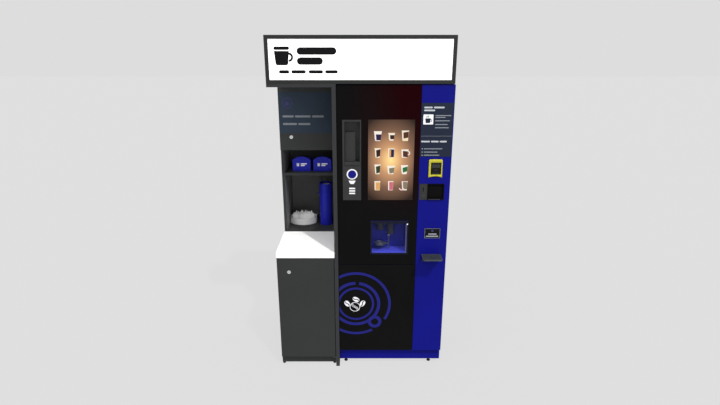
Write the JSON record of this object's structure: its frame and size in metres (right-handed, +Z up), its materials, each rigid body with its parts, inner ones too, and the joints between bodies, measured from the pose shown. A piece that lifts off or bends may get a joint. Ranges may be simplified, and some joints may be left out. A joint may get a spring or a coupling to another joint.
{
  "type": "hot coffee vending machine",
  "caption": "Bean-to-cup coffee vending machine with touch screen, cup bay, delivery bay and payment column, beside a condiment cabinet under a lit header.",
  "frame": {"origin": "on the floor at the middle of the overall footprint", "axes": "+X to the customer's right, +Y from the customer to the back, +Z up"},
  "size_m": [1.044, 0.834, 2.079],
  "materials": {
    "dark_board": "satin dark grey laminate",
    "dark_metal": "satin dark grey",
    "worktop_white": "white satin laminate",
    "blue_paint": "gloss deep blue",
    "blue_plastic": "gloss deep blue",
    "frame_blue": "deep blue powder coat",
    "black_glass": "black back-painted glass",
    "black_panel": "gloss black",
    "black_plastic": "fine matte black",
    "grey_plastic": "satin mid grey",
    "white_acrylic": "backlit white acrylic",
    "white_plastic": "white moulded plastic",
    "paper": "white paper",
    "steel": "brushed steel",
    "chrome": "polished",
    "led": "white light strip",
    "screen": "lit display behind glass",
    "clear": "clear polycarbonate",
    "smoke_clear": "smoked clear hopper with beans in it",
    "yellow": "gloss yellow",
    "plate": "printed dark slate sheet",
    "brass": "plain",
    "canister": "translucent white",
    "rubber": "black"
  },
  "bodies": {
    "kiosk": {"divider_panel": "dark_board", "left_side_panel": "dark_board", "cabinet_base": "dark_board", "cabinet_back": "dark_board", "worktop": "worktop_white", "shelf_boards": "dark_board", "top_board": "dark_board", "cabinet_feet": "rubber", "door_brackets": "steel", "pivot_pins": "steel", "lid_bins": "blue_plastic", "cup_tube": "blue_plastic", "tube_bracket": "steel", "sachet_holder": "white_plastic", "sachets": "paper", "header_case": "dark_metal", "header_face": "white_acrylic", "header_lights": "led", "machine_sides": "blue_paint", "machine_roof": "blue_paint", "machine_back": "blue_paint", "machine_base": "blue_paint", "machine_feet": "rubber", "hinge_brackets": "steel", "equipment_deck": "steel", "bean_hopper": "smoke_clear", "grinder": "black_plastic", "brew_unit": "black_plastic", "boiler": "steel", "powder_canisters": "canister", "mixing_bowls": "black_plastic", "waste_bucket": "black_plastic", "control_box": "steel", "water_inlet": "brass"},
    "turret": {"cup_turret": "canister"},
    "lower_leaf": {"lower_door": "dark_board", "lower_lock_barrel": "chrome"},
    "lower_cam": {"lower_lock_cam": "chrome"},
    "upper_leaf": {"upper_door": "dark_board", "upper_lock_barrel": "chrome"},
    "upper_cam": {"upper_lock_cam": "chrome"},
    "front_door": {"door_frame": "frame_blue", "glass_fascia": "black_glass", "lower_panel": "black_panel", "column_panel": "blue_paint", "touch_screen": "screen", "cup_bay": "grey_plastic", "delivery_bay": "blue_plastic", "cup_stand": "grey_plastic", "nozzle_block": "black_plastic", "info_plates": "plate", "card_reader": "black_plastic", "reader_bezel": "yellow", "coin_plate": "grey_plastic", "coin_cup": "black_plastic", "cup_shelf": "grey_plastic"},
    "start_key": {"start_button": "blue_plastic"},
    "bay_door": {"delivery_door": "clear"},
    "return_key": {"coin_return_button": "chrome"},
    "cup_flap": {"coin_flap": "black_plastic"}
  },
  "joints": [
    {"name": "front_door_hinge", "type": "hinge", "parent": "kiosk", "child": "front_door", "pos_m": [0.512, -0.272, 0.9], "axis": [0, 0, 1], "range_deg": [0, 105]},
    {"name": "lower_door_hinge", "type": "hinge", "parent": "kiosk", "child": "lower_leaf", "pos_m": [-0.175, -0.318, 0.4], "axis": [0, 0, 1], "range_deg": [0, 95]},
    {"name": "upper_door_hinge", "type": "hinge", "parent": "kiosk", "child": "upper_leaf", "pos_m": [-0.175, 0.041, 1.6], "axis": [0, 0, 1], "range_deg": [0, 86]},
    {"name": "lower_lock_turn", "type": "hinge", "parent": "lower_leaf", "child": "lower_cam", "pos_m": [-0.446, -0.328, 0.687], "axis": [0, 1, 0], "range_deg": [0, 90]},
    {"name": "upper_lock_turn", "type": "hinge", "parent": "upper_leaf", "child": "upper_cam", "pos_m": [-0.446, 0.031, 1.465], "axis": [0, 1, 0], "range_deg": [0, 90]},
    {"name": "cup_turret_turn", "type": "hinge", "parent": "kiosk", "child": "turret", "pos_m": [0, -0.018, 1.3], "axis": [0, 0, 1], "continuous": true},
    {"name": "start_button_press", "type": "slide", "parent": "front_door", "child": "start_key", "axis": [0, 1, 0], "range_m": [0, 0.003], "stiffness_N_per_m": 400},
    {"name": "delivery_door_hinge", "type": "hinge", "parent": "front_door", "child": "bay_door", "pos_m": [0.07, -0.318, 0.91], "axis": [0, 0, -1], "range_deg": [0, 95]},
    {"name": "coin_return_press", "type": "slide", "parent": "front_door", "child": "return_key", "axis": [0, 1, 0], "range_m": [0, 0.004], "stiffness_N_per_m": 300},
    {"name": "coin_flap_hinge", "type": "hinge", "parent": "front_door", "child": "cup_flap", "pos_m": [0.437, -0.311, 1.242], "axis": [1, 0, 0], "range_deg": [0, 60]}
  ]
}
